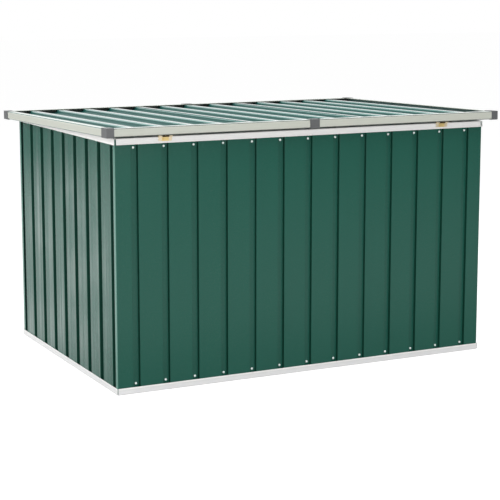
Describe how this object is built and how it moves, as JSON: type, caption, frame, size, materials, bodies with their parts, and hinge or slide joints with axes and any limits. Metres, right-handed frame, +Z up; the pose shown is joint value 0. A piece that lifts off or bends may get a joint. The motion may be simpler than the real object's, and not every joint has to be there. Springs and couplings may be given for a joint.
{
  "type": "garden storage box",
  "caption": "Low outdoor storage box with grooved sheet-metal walls in channel rails and a sloping ribbed lid on butt hinges along one long side.",
  "frame": {"origin": "on the floor, below the middle of the lid", "axes": "+X along the hinged side, to the right when that side is faced; +Y from the hinged side towards the side that opens; +Z up"},
  "size_m": [1.49, 1.0554, 0.8742],
  "materials": {
    "green_sheet": "satin",
    "rail_paint": "satin",
    "grey_plastic": "matte",
    "zinc_steel": "satin",
    "white_screw": "gloss",
    "hinge_brass": "satin"
  },
  "bodies": {
    "box": {"base_rail_hinge_side": "rail_paint", "base_rail_opening_side": "rail_paint", "base_rail_left": "rail_paint", "base_rail_right": "rail_paint", "top_rail_hinge_side": "rail_paint", "top_rail_opening_side": "rail_paint", "top_rail_left": "rail_paint", "top_rail_right": "rail_paint", "corner_post_hinge_left": "zinc_steel", "corner_post_hinge_right": "zinc_steel", "corner_post_opening_left": "zinc_steel", "corner_post_opening_right": "zinc_steel", "hinge_side_sheet_left": "green_sheet", "hinge_side_sheet_middle": "green_sheet", "hinge_side_sheet_right": "green_sheet", "opening_side_sheet_left": "green_sheet", "opening_side_sheet_middle": "green_sheet", "opening_side_sheet_right": "green_sheet", "left_sheet_hinge_end": "green_sheet", "left_sheet_opening_end": "green_sheet", "right_sheet_hinge_end": "green_sheet", "right_sheet_opening_end": "green_sheet", "wall_screws_hinge_side": "white_screw", "wall_screws_opening_side": "white_screw", "wall_screws_left": "white_screw", "wall_screws_right": "white_screw", "hinge_body_leaf_left": "hinge_brass", "hinge_body_leaf_right": "hinge_brass", "hinge_pin_left": "hinge_brass", "hinge_pin_right": "hinge_brass", "hinge_screws_body": "hinge_brass"},
    "lid": {"lid_rail_hinge_left": "rail_paint", "lid_rail_hinge_right": "rail_paint", "lid_rail_opening_left": "rail_paint", "lid_rail_opening_right": "rail_paint", "lid_rail_left": "rail_paint", "lid_rail_right": "rail_paint", "lid_corner_cap_hinge_left": "grey_plastic", "lid_corner_cap_hinge_right": "grey_plastic", "lid_corner_cap_opening_left": "grey_plastic", "lid_corner_cap_opening_right": "grey_plastic", "lid_rail_joiner_hinge": "grey_plastic", "lid_rail_joiner_opening": "grey_plastic", "lid_sheet_left": "green_sheet", "lid_sheet_middle": "green_sheet", "lid_sheet_right": "green_sheet", "hinge_lid_leaf_left": "hinge_brass", "hinge_lid_leaf_right": "hinge_brass", "hinge_screws_lid": "hinge_brass"}
  },
  "joints": [
    {"name": "lid_hinge", "type": "hinge", "parent": "box", "child": "lid", "pos_m": [0, -0.4939, 0.8395], "axis": [1, 0, 0], "range_deg": [0, 100]}
  ]
}
